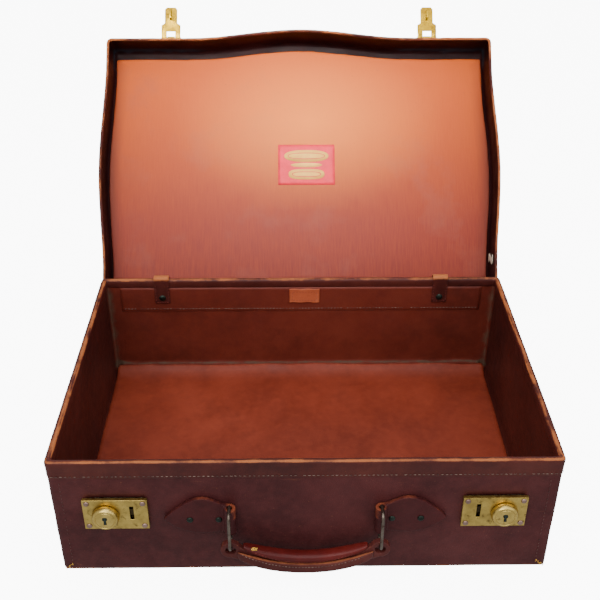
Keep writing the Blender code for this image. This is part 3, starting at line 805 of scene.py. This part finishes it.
def back_band():
    """The hinge leather's inner half, glued down the back wall, its lower edge sewn."""
    rings = []
    for z in (104.0, 104.6, 108.6, 114, 122, 130, 137, 140.4):
        ring = []
        for i in range(97):
            x = -236 + 472 * i / 96
            dip = 0.8 * ripple(x * 0.02, z * 0.05, 5)
            edge = 0.7 * ripple(x * 0.03, 0, 0) if z < 105 else 0.0
            y = 169.35 + 0.25 * dip + (0.0 if z > 104.2 else 0.5) + 0.45 * bump01(z, 108.6, 2.5)
            ring.append(Vector((x, y, z + edge)))
        rings.append(ring)
    points, faces = loft(rings, False)
    wear_and_painted_light = [0.5 * bump01(p.z, 104.0, 2.5) for p in points]
    nodes = ("back_hinge_facing",)
    # The band takes the lighter back-wall copy too: painted light.
    band = piece(
        "back_hinge_facing_skin", points, faces, WALL_BACK_LIT, "base", nodes, "lining_leather", None, wear_and_painted_light, 0.8
    )
    for face in band.data.polygons:
        if face.normal.y > 0:
            face.flip()
    seam = run((-233, 168.9, 108.6), (233, 168.9, 108.6), AHEAD, 4.2, 0.05)
    stitches("back_band_stitches", seam, STITCH, "base", 2.8, 0.4)


back_band()


def tab_piece():
    """The short tab in the middle of the back wall, its sides wavering and its top curling forward."""
    rings = []
    for z in (118.6, 119.2, 124, 130, 135, 138.0, 139.4):
        ring = []
        for i in range(17):
            x = -15 + 39 * i / 16
            curl = 0.9 * bump01(z, 139.0, 5.0) + 0.5 * bump01(i, 8, 9) * bump01(z, 128, 9)
            x += 0.5 * ripple(0, z * 0.2, i)
            ring.append(Vector((x, 168.2 - curl, z + 0.4 * math.sin(i * 0.8))))
        rings.append(ring)
    points, faces = loft(rings, False)
    wear_and_painted_light = [0.3] * len(points)
    piece("centre_tab_skin", points, faces, EDGE, "base", ("centre_tab",), "edge_leather", None, wear_and_painted_light, 1.0)
    left, right, low, high, y = -11, 20, 121.5, 134.5, 167.2
    box = [Vector((x, y, z)) for x, z in ((left, low), (right, low), (right, high), (left, high))]
    spots = []
    for a, b in zip(box, box[1:] + box[:1]):
        spots += run(a, b, AHEAD, 3.6)
    stitches("centre_tab_stitches", spots, STITCH_DARK, "base", 2.3, 0.32)


tab_piece()


# --- stay straps and hinge leather ---
ALONG = Vector((0, -math.sin(OPEN), math.cos(OPEN)))
INTO = Vector((0, -math.cos(OPEN), -math.sin(OPEN)))


def stay_straps():
    """Two straps over the back rim, each riveted inside the tray and sewn to the lid."""
    for tag, sx in (("L", -1), ("R", 1)):
        x = sx * STAY_X
        inside = [(168.3, 118), (168.3, 135), (168.3, 151.0)]
        over = [(169.4, 154.2), (172.8, 155.8), (176.4, 154.6), (178.0, 150.5)]
        outside = [(178.7, 140), (179.8, 127), (182.3, 119)]
        path = [Vector((0, y, z)) for y, z in inside + over + outside]
        path += [HINGE + ALONG * s + INTO * 4.5 for s in (4, 10, 23)]
        path = [p + Vector((x, 0, 0)) for p in smooth_path(path, 6)]
        points, faces = strap(path, (1, 0, 0), 19.5, 1.2)
        wear_and_painted_light = [min(1.0, 0.9 * max(0.0, (p.z - 149) / 7.0) + 0.15) for p in points]
        name = "stay_strap_" + tag
        made = piece(name + "_skin", points, faces, RIM, None, (name,), "edge_leather", None, wear_and_painted_light)
        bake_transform(made)
        ends = run((x - 8, 167.4, 119.6), (x + 8, 167.4, 119.6), AHEAD, 3.0)
        for edge in (x - 8.2, x + 8.2):
            ends += run((edge, 167.4, 121), (edge, 167.4, 146), AHEAD, 3.6)
        stitches("stay_strap_stitches_" + tag, ends, STITCH_RED, "base", 2.3, 0.35)
        dome = [(4.4, 0.0), (4.3, 0.5), (3.7, 1.1), (2.5, 1.6), (1.2, 1.9), (0.2, 2.0)]
        nodes = ("stay_strap_rivet_" + tag,)
        turned("stay_rivet_dome_" + tag, dome, (x, 167.6, 126), AHEAD, RIVET_DARK_AND_HOLE_SHADE, "base", nodes, 32)


stay_straps()


def hinge_skin():
    """The leather hinge across the back, sewn to the tray below and to the lid above."""
    path = [Vector((0, y, z)) for y, z in ((176.4, 74), (176.4, 90), (176.6, 102), (178.0, 107.5))]
    path += [HINGE + ALONG * s - INTO * 0.9 for s in (1.5, 6, 16, 30)]
    points, faces = strap(smooth_path(path, 5), (1, 0, 0), 476, 1.0, 0.4)
    wear_and_painted_light = [0.12] * len(points)
    nodes = ("hinge_leather",)
    made = piece("hinge_leather_skin", points, faces, EXT, None, nodes, "case_leather", None, wear_and_painted_light)
    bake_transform(made)
    reach = Vector((234, 0, 0))
    low, high = Vector((0, 177.0, 78)), HINGE + ALONG * 26 - INTO * 1.5
    seam = run(low - reach, low + reach, (0, 1, 0), 4.6, 0.04)
    stitches("hinge_low_stitches", seam, STITCH_DARK, "base", 2.9, 0.4)
    seam = run(high - reach, high + reach, -INTO, 4.6, 0.04)
    stitches("hinge_lid_stitches", seam, STITCH_DARK, "lid", 2.9, 0.4)


hinge_skin()


# --- the lid ---
def lid_cover_skin():
    levels = [(0.3, 112.1), (0.05, 113.0), (0.0, 116.0)] + [(0.0, z) for z in range(121, 152, 5)]
    levels += [(0.0, 153.5), (0.35, 155.6), (1.3, 157.4), (2.9, 158.5)]
    levels += [(5.2, 159.0), (9.0, 159.1), (14.0, 159.1)]
    rings = [LID.ring(inset, z, 0.4 if z < 159 else 0.2, 0.0, 20.0) for inset, z in levels]
    points, faces = loft(rings, True, False, True)
    wear_and_painted_light = [min(1.0, 0.62 * bump01(p.z, 157.0, 2.0) + 0.4 * bump01(p.z, 112, 4)) for p in points]
    piece("lid_cover_skin", points, faces, EXT, "lid", ("lid_cover",), "case_leather", TO_OPEN, wear_and_painted_light, 1.3)


lid_cover_skin()


def lid_edge_skin():
    """The leather turned over the lid's edge, pressed flat where each hasp's leaf crosses it."""
    shape = [(-0.15, 114.0), (-0.2, 112.6), (0.3, 111.8), (1.0, 111.5), (2.0, 111.6), (3.0, 112.1)]
    shape += [(3.6, 113.2), (3.5, 115.0), (1.6, 115.6)]
    rings = [LID.ring(inset, z, 0.3, 0.5, 30.0) for inset, z in shape]
    for ring in rings:
        for p in ring:
            if p.y < -150 and abs(abs(p.x) - HASP_X) < 20:
                p.y = max(p.y, -182.4)
    points, faces = loft(rings + [rings[0]])
    wear_and_painted_light = []
    for p in points:
        patch = 0.5 + 0.9 * ripple(p.x * 0.018, p.y * 0.018, 4)
        wear_and_painted_light.append(unit(0.78 * patch + 0.25) if p.z < 112.8 else 0.1)
    piece("lid_edge_skin", points, faces, RIM, "lid", (), "edge_leather", TO_OPEN, wear_and_painted_light)


lid_edge_skin()


def lid_wall_skin():
    """The lid's dark inner walls, greyer at the two ends of the front one, where a bluish-grey sheen is
    painted.
    """
    levels = [(3.3, 112.6), (3.3, 120.0), (3.4, 128.0), (3.4, 136.0)]
    levels += [(3.4, 144.0), (3.6, 150.0), (4.6, 154.6), (8.0, 156.0)]
    rings = [LID.ring(inset, z, 0.5, 0.0, 40.0) for inset, z in levels]
    points, faces = loft(rings, True, False, True)
    # These marks paint the sheen: bluish-grey towards the ends of the front wall.
    wear_and_painted_light = []
    for p in points:
        end = unit((abs(p.x) - 100) / 50)
        wear_and_painted_light.append(min(1.0, 0.8 * end * bump01(p.z, 147, 14)) if p.y < -150 else 0.0)
    nodes = ("lid_board",)
    piece("lid_wall_skin", points, faces, LIDWALL, "lid", nodes, "case_board", TO_OPEN, wear_and_painted_light, out=False)


lid_wall_skin()


def lid_rim_seam():
    count = int(2 * (LID_W + LID_D) / 4.8)
    line = Outline(LID_W + 0.2, LID_D + 0.2, 7.0, count, LID_Y, LID_BOW, LID_SIDE_BOW)
    spots = []
    turn3 = TO_OPEN.to_3x3()
    for i, (p, out) in enumerate(zip(line.at, line.out)):
        along = line.at[(i + 1) % count] - line.at[i - 1]
        if abs(abs(p.x) - HASP_X) < 15 and p.y < -150:
            continue
        spots.append((TO_OPEN @ Vector((p.x, p.y, 119.5)), turn3 @ along.to_3d(), turn3 @ out.to_3d()))
    stitches("lid_rim_stitches", spots, STITCH_DARK, "lid", 3.0, 0.42)


lid_rim_seam()


def lid_panel():
    """The glossy panel that lines the lid: a thin board in skin, its far edge following the bowed lid."""
    rings = []
    short = 8.5
    outline = Outline(LID_W, LID_D - short, 9.0, 860, LID_Y + short / 2, LID_BOW, LID_SIDE_BOW)
    for inset, z in ((7.2, 155.2), (6.8, 154.3), (7.2, 153.8), (8.4, 153.6), (11.0, 153.7)):
        rings.append(outline.ring(inset, z, 0.7, 0.15, 50.0))
    last = rings[-1]
    middle = Vector((0, LID_Y, 153.7))
    for scale in (0.95, 0.88, 0.8, 0.7, 0.58, 0.45, 0.3, 0.15, 0.02):
        ring = []
        for p in last:
            q = middle.lerp(p, scale)
            q.z = 153.8 + 0.5 * noise.noise(Vector((q.x, q.y, 0)) * 0.012)
            ring.append(q)
        rings.append(ring)
    points, faces = loft(rings, True, True, True)
    height = [(175 - p.y) / 350 for p in points]
    # The pale field is a painted highlight, strongest a little above the middle of the open lid.
    pale = [max(0.0, 1 - math.hypot((p.x - 15) / 190, (p.y + 75) / 120)) for p in points]
    # Marks that make the panel darker along its side edges and its hinge end.
    wear_and_painted_light = []
    for p in points:
        side, back = max(0.0, 1 - (LID_W / 2 - 7 - abs(p.x)) / 10), max(0.0, (p.y - 160) / 15)
        wear_and_painted_light.append(unit(side * 0.6 + back * 0.7))
    piece(
        "lid_lining_skin", points, faces, PANEL, "lid", ("lid_lining_panel",), "lid_panel_leather", TO_OPEN,
        wear_and_painted_light, height=height, pale=pale,
    )


lid_panel()


def lid_label():
    """A plain pink label with three pale banners, two of them outlined; it carries no words."""
    x0, x1, y0, y1 = -30.0, 49.0, HINGE.y - 225, HINGE.y - 168
    rings = []
    for j in range(13):
        y = y0 + (y1 - y0) * j / 12
        ring = []
        for i in range(19):
            x = x0 + (x1 - x0) * i / 18
            lift = 0.5 * (abs(i - 9) / 9) ** 6 * (abs(j - 6) / 6) ** 4
            ring.append(Vector((x, y, 153.35 - lift + 0.05 * noise.noise(Vector((x, y, 0)) * 0.1))))
        rings.append(ring)
    points, faces = loft(rings, False)
    piece("lid_label_cloth", points, faces, PINK, "lid", ("lid_label",), "label_cloth", TO_OPEN, thick=0.3)
    cx, cy = (x0 + x1) / 2, (y0 + y1) / 2

    def flat_ring(name, rx, ry, square, z, mat, up, width=None):
        """A squared oval round the label's middle, raised by `up`: filled, or an outline of this width."""
        inner, outer = [], []
        middle = Vector((cx, cy + up, z))
        for k in range(72):
            a = math.tau * k / 72
            c, s = math.cos(a), math.sin(a)
            grow = 1 / max((abs(c) ** square + abs(s) ** square) ** (1 / square), 1e-6)
            outer.append(middle + Vector((rx * c * grow, ry * s * grow, 0)))
            if width:
                inner.append(middle + Vector(((rx - width) * c * grow, (ry - width) * s * grow, 0)))
            else:
                inner.append(middle.lerp(outer[-1], 0.02))
        points, faces = loft([outer, inner], True, False, not width)
        return piece(name, points, faces, mat, "lid", (), None, TO_OPEN, thick=0.12)

    flat_ring("label_banner_low", 25, 7.5, 3.0, 152.95, CREAM, 13.5)
    flat_ring("label_banner_top", 31, 8.5, 2.4, 152.95, CREAM, -12.5)
    flat_ring("label_banner_mid", 22, 3.2, 2.2, 152.90, CREAM, 0.5)
    flat_ring("label_line_top", 26, 4.6, 2.4, 152.82, PINK, -12.5, 0.9)
    flat_ring("label_line_low", 20, 3.8, 3.0, 152.82, PINK, 13.5, 0.9)


lid_label()


def stay_stub():
    """The end of a cut cotton tape, low on the lid's right wall."""
    path = [Vector((LID_W / 2 - 3.6, HINGE.y - 60 + 4 * math.sin(i), LID_LOW + 12 + 4 * i)) for i in range(7)]
    points, faces = strap(smooth_path(path, 3), (0, 1, 0), 9, 0.9)
    piece("lid_stay_stub_cloth", points, faces, TAPE, "lid", ("lid_stay_stub",), "cotton_tape", TO_OPEN)


stay_stub()


# --- metal work ---
def keyhole(tag, body):
    """Painted shade for the keyhole: a dark round patch over a slot that widens downwards, laid flat on the
    knob's face in place of the shaded hole.
    """
    x, y, r = KNOB_X if tag == "R" else -KNOB_X, PLATE_FACE - 7.62, 2.5
    turns = [math.tau * k / 16 for k in range(16)]
    hole = [Vector((x + r * math.cos(a), y, KNOB_Z + 1.8 + r * math.sin(a))) for a in turns]
    piece("keyhole_round_" + tag, hole, [tuple(range(16))], RIVET_DARK_AND_HOLE_SHADE, body, thick=0.05)
    corners = ((-1.0, 0), (1.0, 0), (1.6, -6.2), (-1.6, -6.2))
    way = [Vector((x + dx, y - 0.04, KNOB_Z + 1 + dz)) for dx, dz in corners]
    piece("keyhole_way_" + tag, way, [(0, 1, 2, 3)], RIVET_DARK_AND_HOLE_SHADE, body, thick=0.05)


def lock(tag, sx):
    """One lock: its plates, bolt and hasp from the frame, its rivets, and its turned knob."""
    refine("lock_plate_" + tag, 0.5, LOCK_BRASS, 3)
    refine("lock_backplate_" + tag, 0.2, LOCK_BRASS)
    refine("lock_bolt_" + tag, 0.25, BOLT_BRASS)
    refine("hasp_leaf_" + tag, 0.22, BRIGHT)
    refine("hasp_tongue_" + tag, 0.28, BRIGHT)
    refine("hasp_pin_" + tag, 0.2, BRIGHT)
    dome = [(3.0, 0.0), (2.95, 0.35), (2.5, 0.95), (1.7, 1.35), (0.8, 1.55), (0.05, 1.6)]
    dx, dz = 28.3, 15.2
    for n, (side, up) in enumerate(((-1, -1), (1, -1), (1, 1), (-1, 1)), 1):
        name = f"lock_rivet_{tag}{n}"
        place = (sx * LOCK_X + side * dx, PLATE_FACE + 0.25, LOCK_Z + up * dz)
        turned(name + "_dome", dome, place, AHEAD, RIVET, "base", (name,), 24)
    dome = [(3.5, 0.0), (3.4, 0.5), (2.8, 1.2), (1.8, 1.6), (0.9, 1.75), (0.1, 1.8)]
    for n, x in ((1, 88.5), (2, 118.0)):
        name = f"mount_rivet_{tag}{n}"
        turned(name + "_dome", dome, (sx * x, FRONT - 5.9, 79), AHEAD, RIVET_DARK_AND_HOLE_SHADE, "base", (name,), 28)
    side = [(3.0, -1.5), (3.0, 0.0), (13.2, 0.0), (14.0, 0.5), (14.1, 1.6), (13.9, 3.4), (13.4, 5.2)]
    groove = [(12.7, 6.6), (11.9, 7.4), (11.2, 7.6), (10.6, 7.1), (10.1, 6.5), (9.6, 7.0), (9.0, 7.5)]
    knob = side + groove + [(8.2, 7.65), (4.9, 7.6), (4.4, 7.35), (0.05, 7.3)]
    name = "lock_knob_" + tag
    place = (sx * KNOB_X, PLATE_FACE, KNOB_Z)
    turned(name + "_cap", knob, place, AHEAD, KNOB_BRASS, BODY_OF[name], (name,), 72)
    keyhole(tag, BODY_OF[name])


def handle_ring(tag, sx):
    """The bent wire ring: a half circle below, and two rounded corners above."""
    half, corner, low, high = 9.0, 4.5, 59.0, 95.5
    x, y = sx * RING_X, FRONT - 6.6 - half
    path = []
    for i in range(25):
        a = math.pi * i / 24
        path.append(Vector((x, y + half * math.cos(a), low - half * math.sin(a))))
    for i in range(9):
        a = math.pi / 2 * i / 8
        path.append(Vector((x, y - corner - corner * math.cos(a), high + corner * math.sin(a))))
    for i in range(9):
        a = math.pi / 2 * i / 8
        path.append(Vector((x, y + corner + corner * math.sin(a), high + corner * math.cos(a))))
    wire("ring_" + tag + "_wire", path, 1.7, STEEL, "ring_" + tag, True, ("ring_" + tag,))


def hasp_rivets(tag, sx):
    dome = [(1.9, 0.0), (1.8, 0.4), (1.4, 0.85), (0.8, 1.1), (0.05, 1.2)]
    for n, dx in ((1, -7.5), (2, 7.5)):
        name = f"hasp_rivet_{tag}{n}"
        place = (sx * HASP_X + dx, -183.9, 131)
        turned(name + "_dome", dome, place, AHEAD, BRIGHT, "lid", (name,), 24, TO_OPEN)


for tag, sx in (("L", -1), ("R", 1)):
    lock(tag, sx)
    handle_ring(tag, sx)
for tag, sx in (("L", -1), ("R", 1)):
    hasp_rivets(tag, sx)


# --- handle ---
def handle_mount(tag):
    """One of the leather mounts, with a painted highlight along its top edge, and rubbed over the fold that
    holds the ring.
    """
    mount = soften("handle_mount_" + tag, 0.9, 5, MOUNT, 1.3)
    values = []
    for v in mount.data.vertices:
        p = v.co / MM
        # Painted highlight on the faces turned up along the top edge; the fold's marks are rubbing.
        top_highlight = max(0.0, v.normal.z) ** 0.7 * (1.0 if p.z > 78 else 0.2)
        fold = max(0.0, 1 - abs(abs(p.x) - 72) / 9) * (0.75 if p.z > 84 else 0.25)
        values.append(min(1.0, 0.62 * top_highlight + fold))
    mount.data.attributes["wear_and_painted_light"].data.foreach_set("value", values)


handle_mount("L")
handle_mount("R")
soften("handle_strap", 0.8, 4, HANDLE_BROWN, 2.0)
HANDLE_Y = FRONT - 15.6
BAND_REACH, PAD_REACH = 70, 64


def handle_roll(node, mat, slot, reach, low, high, y_in, y_out, thin, edge, swell=6.0, closed=False):
    """A bowed layer, thinner at its ends: low and high are its edges' heights, at the middle and the end."""
    rings, wear_and_painted_light = [], []
    for i in range(101):
        x = -reach + 2 * reach * i / 100
        u = abs(x) / reach
        full = (1 - u**swell) ** 0.5
        z0 = low[0] + (low[1] - low[0]) * u**2.1
        z1 = high[0] + (high[1] - high[0]) * u**2.1
        half_y = abs(y_out - y_in) / 2 * (thin + (1 - thin) * full)
        half_z = (z1 - z0) / 2 * (0.45 + 0.55 * full)
        if closed:
            y = (y_in + y_out) / 2
        else:
            y = y_in + math.copysign(half_y, y_out - y_in)
        ring = []
        for k in range(36):
            a = math.tau * k / 36
            c, s = math.cos(a), math.sin(a)
            power = 0.75 if closed else 0.45
            aside = math.copysign(abs(c) ** power, c) * half_y
            above = math.copysign(abs(s) ** power, s) * half_z
            spot = Vector((x, y + aside, (z0 + z1) / 2 + above))
            spot += Vector((0, 0.15, 0.15)) * noise.noise(spot * 0.2)
            ring.append(spot)
            wear_and_painted_light.append(edge * max(0.0, (abs(s) - 0.90) / 0.10))
        rings.append(ring)
    points, faces = loft(rings, True, True, True)
    return piece(node + "_skin", points, faces, mat, "handle", (node,), slot, wear_and_painted_light=wear_and_painted_light)


band = (BAND_REACH, (19.5, 36.5), (30.8, 49))
handle_roll("handle_front", HANDLE_BROWN, "case_leather", *band, HANDLE_Y - 3.6, HANDLE_Y - 9.6, 0.2, 0.85)
handle_roll("handle_back", HANDLE_RED, "handle_red", *band, HANDLE_Y + 3.6, HANDLE_Y + 9.6, 0.2, 0.2)
pad = (PAD_REACH, (30.5, 47.5), (40.5, 55.0))
handle_roll("handle_pad", HANDLE_RED, "handle_red", *pad, HANDLE_Y - 6.9, HANDLE_Y + 6.9, 0.4, 0.1, 4.0, True)


def handle_seams():
    """Two rows of stitches along the front band and one along the red roll."""
    rows = [(21.6, 38.4, 66.0, STITCH_DARK), (28.9, 46.9, 66.0, STITCH), (33.0, 49.5, 56.0, STITCH_RED)]
    for n, (mid, end, reach, mat) in enumerate(rows):
        line = []
        for i in range(int(2 * reach / 3.4)):
            x = -reach + 3.4 * i
            u = abs(x) / reach
            if n < 2:
                y = HANDLE_Y - 3.6 - 6.15 * (0.2 + 0.8 * (1 - (abs(x) / 71) ** 6) ** 0.5)
            else:
                y = HANDLE_Y - 6.9 * (0.4 + 0.6 * (1 - (abs(x) / PAD_REACH) ** 4) ** 0.5)
            line.append(Vector((x, y, mid + (end - mid) * u**2.1)))
        spots = [(a.lerp(b, 0.5), b - a, Vector((0, -1, 0.1))) for a, b in zip(line, line[1:])]
        stitches(f"handle_stitches_{n}", spots, mat, "handle", 2.2, 0.34)


handle_seams()


def loose_threads():
    """A yellow knot left on the handle and frayed thread at the two lower front corners."""
    for n in range(5):
        start = Vector((-55 + 1.1 * n, HANDLE_Y - 4.5, 49.5))
        path = [start + Vector((random.uniform(-1, 1), random.uniform(-1, 0.4), 0.9 * k)) for k in range(5)]
        wire(f"knot_thread_{n}", smooth_path(path, 4), 0.45, YELLOW, "handle")
    for sx in (-1, 1):
        for n in range(4):
            start = Vector((sx * (255 - 2.5 * n), -175.6, 4.0 + 2.2 * n))
            path = []
            for k in range(4):
                path.append(start + Vector((random.uniform(-1.5, 1.5), -0.4 * random.random(), -0.9 * k)))
            wire(f"corner_thread_{sx}_{n}", smooth_path(path, 4), 0.3, YELLOW, "base")


loose_threads()


# --- floor and light ---
def surroundings():
    bpy.ops.mesh.primitive_plane_add(size=60, location=(0, 2, 0))
    ground = bpy.context.object
    ground.name = "floor"
    n = Nodes("studio_floor")
    n.link(n.mix(n.span(n.noise(3.0, 3.0), 0.3, 0.7), (0.86, 0.86, 0.86), (0.88, 0.88, 0.88)), "Base Color")
    n.fix("Roughness", 0.8)
    n.fix("Emission Color", (1.0, 1.0, 1.0, 1))
    n.fix("Emission Strength", 9.0)
    ground.data.materials.append(n.mat)
    ground.visible_diffuse = False
    ground.visible_glossy = False
    world = bpy.data.worlds.new("studio")
    bpy.context.scene.world = world
    world.use_nodes = True
    world.node_tree.nodes["Background"].inputs[0].default_value = (0.98, 0.99, 1.0, 1)
    world.node_tree.nodes["Background"].inputs[1].default_value = 0.75
    lights = (
        ("key", (-0.8, -1.3, 1.9), 1.4, 26, (1.0, 0.98, 0.95)),
        ("fill", (1.3, -0.9, 1.3), 1.6, 9, (0.96, 0.98, 1.0)),
        ("top", (0.1, 0.0, 2.3), 1.6, 20, (1.0, 1.0, 1.0)),
        ("front", (0.0, -1.7, 1.5), 0.9, 8, (1.0, 1.0, 1.0)),
        ("glow", (-0.02, -0.45, 1.15), 0.4, 1.0, (1.0, 0.97, 0.94)),
    )
    for name, place, size, power, colour in lights:
        data = bpy.data.lights.new(name, "AREA")
        data.size = size
        data.energy = power
        data.color = colour
        lamp = bpy.data.objects.new(name, data)
        lamp.location = place
        aim = Vector((0.0, 0.44, 0.36)) if name == "glow" else Vector((0, 0.05, 0.15))
        data.spread = math.radians(34) if name == "glow" else math.pi
        lamp.rotation_euler = (aim - Vector(place)).to_track_quat("-Z", "Y").to_euler()
        bpy.context.scene.collection.objects.link(lamp)


surroundings()
